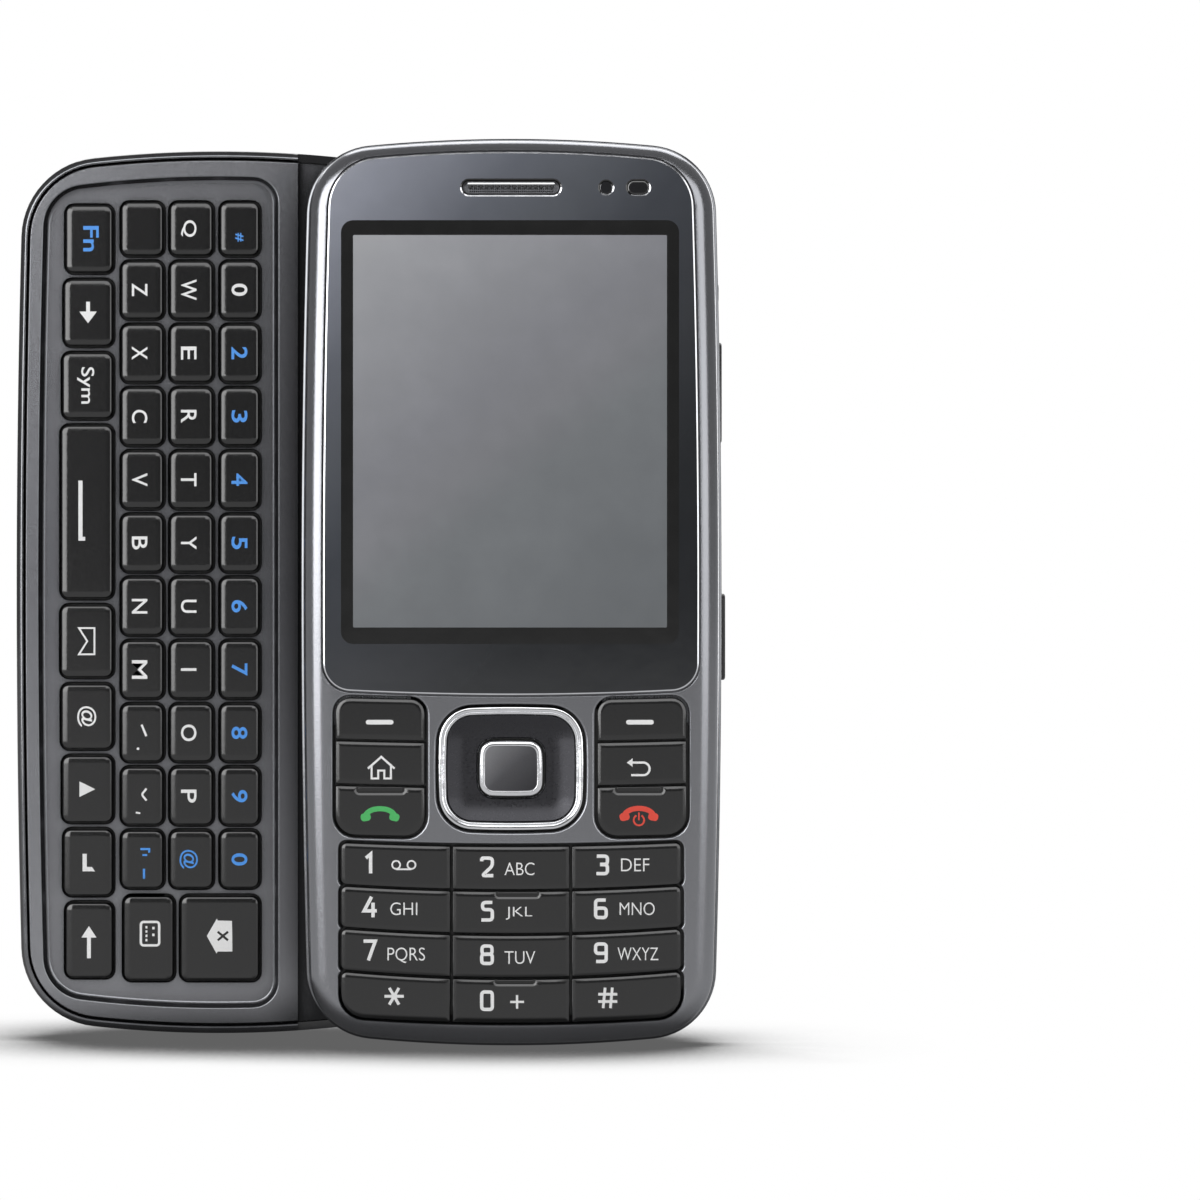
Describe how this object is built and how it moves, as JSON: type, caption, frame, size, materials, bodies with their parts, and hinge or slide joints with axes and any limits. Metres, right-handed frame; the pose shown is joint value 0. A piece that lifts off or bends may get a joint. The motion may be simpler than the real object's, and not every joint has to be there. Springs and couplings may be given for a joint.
{
  "type": "slider phone",
  "caption": "Portrait phone whose screen half slides sideways over a thicker half to uncover a full letter keyboard; number pad and navigation key under the screen.",
  "frame": {"origin": "centre of the flat back of the thicker half, on the outside of the battery cover", "axes": "screen faces -Y, flat back faces +Y, top of the phone +Z, +X is the side that the screen half is slid out to"},
  "size_m": [0.0892, 0.016, 0.113],
  "materials": {
    "satin_silver": "satin anodised",
    "graphite_back": "fine-grain metallic graphite",
    "deck_paint": "fine-textured metallic grey paint",
    "gloss_rim": "polished black",
    "black_housing": "moulded, fine texture",
    "smoked_window": "smoked, polished",
    "display_glass": "unlit display panel",
    "key_plastic": "satin moulded",
    "chrome_trim": "plated",
    "brushed_grey": "fine-grain satin",
    "spring_steel": "rolled",
    "circuit_board": "solder mask",
    "battery_can": "wrapped can",
    "lens_glass": "coated, polished",
    "legend_white": "printed",
    "legend_blue": "printed",
    "legend_green": "printed",
    "legend_red": "printed"
  },
  "bodies": {
    "base": {"base_rear_shell": "black_housing", "base_deck": "deck_paint", "base_rim": "gloss_rim", "rear_end_cap": "graphite_back", "main_board": "circuit_board", "guide_plate": "spring_steel", "battery": "battery_can", "camera_bezel": "chrome_trim", "camera_glass": "lens_glass", "camera_module": "black_housing", "loudspeaker": "black_housing", "vibration_motor": "spring_steel", "connector_socket": "spring_steel"},
    "slide": {"front_bezel": "satin_silver", "slide_rear_cover": "black_housing", "slide_rail_plate": "spring_steel", "display_window": "smoked_window", "display_module": "display_glass", "earpiece_grille": "chrome_trim", "earpiece_receiver": "black_housing", "front_camera": "lens_glass", "light_sensor": "lens_glass", "keypad_board": "circuit_board"},
    "battery_cover": {"battery_cover": "graphite_back"},
    "connector_cover": {"connector_cover": "black_housing"},
    "side_key_upper": {"side_key_upper": "black_housing"},
    "side_key_lower": {"side_key_lower": "black_housing"},
    "keyboard_fn_strip": {"keyboard_fn_strip": "key_plastic"},
    "keyboard_space_bar": {"keyboard_space_bar": "key_plastic"},
    "keyboard_mail_strip": {"keyboard_mail_strip": "key_plastic"},
    "keyboard_shift_key": {"keyboard_shift_key": "key_plastic"},
    "keyboard_lower_letters": {"keyboard_lower_letters": "key_plastic"},
    "keyboard_upper_letters": {"keyboard_upper_letters": "key_plastic"},
    "keyboard_numbers": {"keyboard_numbers": "key_plastic"},
    "keyboard_delete_key": {"keyboard_delete_key": "key_plastic"},
    "volume_rocker": {"volume_rocker": "black_housing"},
    "camera_key": {"camera_key": "black_housing"},
    "hold_key": {"hold_key": "black_housing"},
    "soft_key_left": {"soft_key_left": "key_plastic"},
    "home_key": {"home_key": "key_plastic"},
    "call_key": {"call_key": "key_plastic"},
    "soft_key_right": {"soft_key_right": "key_plastic"},
    "back_key": {"back_key": "key_plastic"},
    "end_key": {"end_key": "key_plastic"},
    "key_1": {"key_1": "key_plastic"},
    "key_2": {"key_2": "key_plastic"},
    "key_3": {"key_3": "key_plastic"},
    "key_4": {"key_4": "key_plastic"},
    "key_5": {"key_5": "key_plastic"},
    "key_6": {"key_6": "key_plastic"},
    "key_7": {"key_7": "key_plastic"},
    "key_8": {"key_8": "key_plastic"},
    "key_9": {"key_9": "key_plastic"},
    "key_star": {"key_star": "key_plastic"},
    "key_0": {"key_0": "key_plastic"},
    "key_hash": {"key_hash": "key_plastic"},
    "center_key": {"center_key": "brushed_grey"},
    "nav_actuator": {"nav_actuator": "spring_steel"},
    "nav": {"nav_pad": "key_plastic", "nav_ring": "chrome_trim"}
  },
  "joints": [
    {"name": "screen_slide", "type": "slide", "parent": "base", "child": "slide", "axis": [-1, 0, 0], "range_m": [0, 0.0368]},
    {"name": "battery_cover_lift", "type": "slide", "parent": "base", "child": "battery_cover", "axis": [0, 1, 0], "range_m": [0, 0.012]},
    {"name": "connector_cover_hinge", "type": "hinge", "parent": "base", "child": "connector_cover", "pos_m": [-0.0251, -0.00575, 0.0214], "axis": [0, -1, 0], "range_deg": [0, 100]},
    {"name": "side_key_upper_press", "type": "slide", "parent": "base", "child": "side_key_upper", "axis": [1, 0, 0], "range_m": [0, 0.0003], "stiffness_N_per_m": 4000},
    {"name": "side_key_lower_press", "type": "slide", "parent": "base", "child": "side_key_lower", "axis": [1, 0, 0], "range_m": [0, 0.0003], "stiffness_N_per_m": 4000},
    {"name": "keyboard_fn_strip_press", "type": "slide", "parent": "base", "child": "keyboard_fn_strip", "axis": [0, 1, 0], "range_m": [0, 0.0003], "stiffness_N_per_m": 4000},
    {"name": "keyboard_space_bar_press", "type": "slide", "parent": "base", "child": "keyboard_space_bar", "axis": [0, 1, 0], "range_m": [0, 0.0003], "stiffness_N_per_m": 4000},
    {"name": "keyboard_mail_strip_press", "type": "slide", "parent": "base", "child": "keyboard_mail_strip", "axis": [0, 1, 0], "range_m": [0, 0.0003], "stiffness_N_per_m": 4000},
    {"name": "keyboard_shift_key_press", "type": "slide", "parent": "base", "child": "keyboard_shift_key", "axis": [0, 1, 0], "range_m": [0, 0.0003], "stiffness_N_per_m": 4000},
    {"name": "keyboard_lower_letters_press", "type": "slide", "parent": "base", "child": "keyboard_lower_letters", "axis": [0, 1, 0], "range_m": [0, 0.0003], "stiffness_N_per_m": 4000},
    {"name": "keyboard_upper_letters_press", "type": "slide", "parent": "base", "child": "keyboard_upper_letters", "axis": [0, 1, 0], "range_m": [0, 0.0003], "stiffness_N_per_m": 4000},
    {"name": "keyboard_numbers_press", "type": "slide", "parent": "base", "child": "keyboard_numbers", "axis": [0, 1, 0], "range_m": [0, 0.0003], "stiffness_N_per_m": 4000},
    {"name": "keyboard_delete_key_press", "type": "slide", "parent": "base", "child": "keyboard_delete_key", "axis": [0, 1, 0], "range_m": [0, 0.0003], "stiffness_N_per_m": 4000},
    {"name": "volume_rocker_tilt", "type": "hinge", "parent": "slide", "child": "volume_rocker", "pos_m": [0.0612, -0.0117, 0.0249], "axis": [0, -1, 0], "range_deg": [-1.5, 1.5], "stiffness_Nm_per_rad": 0.25},
    {"name": "camera_key_press", "type": "slide", "parent": "slide", "child": "camera_key", "axis": [-1, 0, 0], "range_m": [0, 0.0003], "stiffness_N_per_m": 4000},
    {"name": "hold_key_press", "type": "slide", "parent": "slide", "child": "hold_key", "axis": [-1, 0, 0], "range_m": [0, 0.0003], "stiffness_N_per_m": 4000},
    {"name": "soft_key_left_press", "type": "slide", "parent": "slide", "child": "soft_key_left", "axis": [0, 1, 0], "range_m": [0, 0.0003], "stiffness_N_per_m": 4000},
    {"name": "home_key_press", "type": "slide", "parent": "slide", "child": "home_key", "axis": [0, 1, 0], "range_m": [0, 0.0003], "stiffness_N_per_m": 4000},
    {"name": "call_key_press", "type": "slide", "parent": "slide", "child": "call_key", "axis": [0, 1, 0], "range_m": [0, 0.0003], "stiffness_N_per_m": 4000},
    {"name": "soft_key_right_press", "type": "slide", "parent": "slide", "child": "soft_key_right", "axis": [0, 1, 0], "range_m": [0, 0.0003], "stiffness_N_per_m": 4000},
    {"name": "back_key_press", "type": "slide", "parent": "slide", "child": "back_key", "axis": [0, 1, 0], "range_m": [0, 0.0003], "stiffness_N_per_m": 4000},
    {"name": "end_key_press", "type": "slide", "parent": "slide", "child": "end_key", "axis": [0, 1, 0], "range_m": [0, 0.0003], "stiffness_N_per_m": 4000},
    {"name": "key_1_press", "type": "slide", "parent": "slide", "child": "key_1", "axis": [0, 1, 0], "range_m": [0, 0.0003], "stiffness_N_per_m": 4000},
    {"name": "key_2_press", "type": "slide", "parent": "slide", "child": "key_2", "axis": [0, 1, 0], "range_m": [0, 0.0003], "stiffness_N_per_m": 4000},
    {"name": "key_3_press", "type": "slide", "parent": "slide", "child": "key_3", "axis": [0, 1, 0], "range_m": [0, 0.0003], "stiffness_N_per_m": 4000},
    {"name": "key_4_press", "type": "slide", "parent": "slide", "child": "key_4", "axis": [0, 1, 0], "range_m": [0, 0.0003], "stiffness_N_per_m": 4000},
    {"name": "key_5_press", "type": "slide", "parent": "slide", "child": "key_5", "axis": [0, 1, 0], "range_m": [0, 0.0003], "stiffness_N_per_m": 4000},
    {"name": "key_6_press", "type": "slide", "parent": "slide", "child": "key_6", "axis": [0, 1, 0], "range_m": [0, 0.0003], "stiffness_N_per_m": 4000},
    {"name": "key_7_press", "type": "slide", "parent": "slide", "child": "key_7", "axis": [0, 1, 0], "range_m": [0, 0.0003], "stiffness_N_per_m": 4000},
    {"name": "key_8_press", "type": "slide", "parent": "slide", "child": "key_8", "axis": [0, 1, 0], "range_m": [0, 0.0003], "stiffness_N_per_m": 4000},
    {"name": "key_9_press", "type": "slide", "parent": "slide", "child": "key_9", "axis": [0, 1, 0], "range_m": [0, 0.0003], "stiffness_N_per_m": 4000},
    {"name": "key_star_press", "type": "slide", "parent": "slide", "child": "key_star", "axis": [0, 1, 0], "range_m": [0, 0.0003], "stiffness_N_per_m": 4000},
    {"name": "key_0_press", "type": "slide", "parent": "slide", "child": "key_0", "axis": [0, 1, 0], "range_m": [0, 0.0003], "stiffness_N_per_m": 4000},
    {"name": "key_hash_press", "type": "slide", "parent": "slide", "child": "key_hash", "axis": [0, 1, 0], "range_m": [0, 0.0003], "stiffness_N_per_m": 4000},
    {"name": "center_key_press", "type": "slide", "parent": "slide", "child": "center_key", "axis": [0, 1, 0], "range_m": [0, 0.0003], "stiffness_N_per_m": 4000},
    {"name": "nav_tilt_sideways", "type": "hinge", "parent": "slide", "child": "nav_actuator", "pos_m": [0.0368, -0.0137, -0.0219], "axis": [0, 0, 1], "range_deg": [-1.5, 1.5], "stiffness_Nm_per_rad": 0.4},
    {"name": "nav_tilt_lengthways", "type": "hinge", "parent": "nav_actuator", "child": "nav", "pos_m": [0.0368, -0.0137, -0.0219], "axis": [1, 0, 0], "range_deg": [-1.5, 1.5], "stiffness_Nm_per_rad": 0.4}
  ]
}
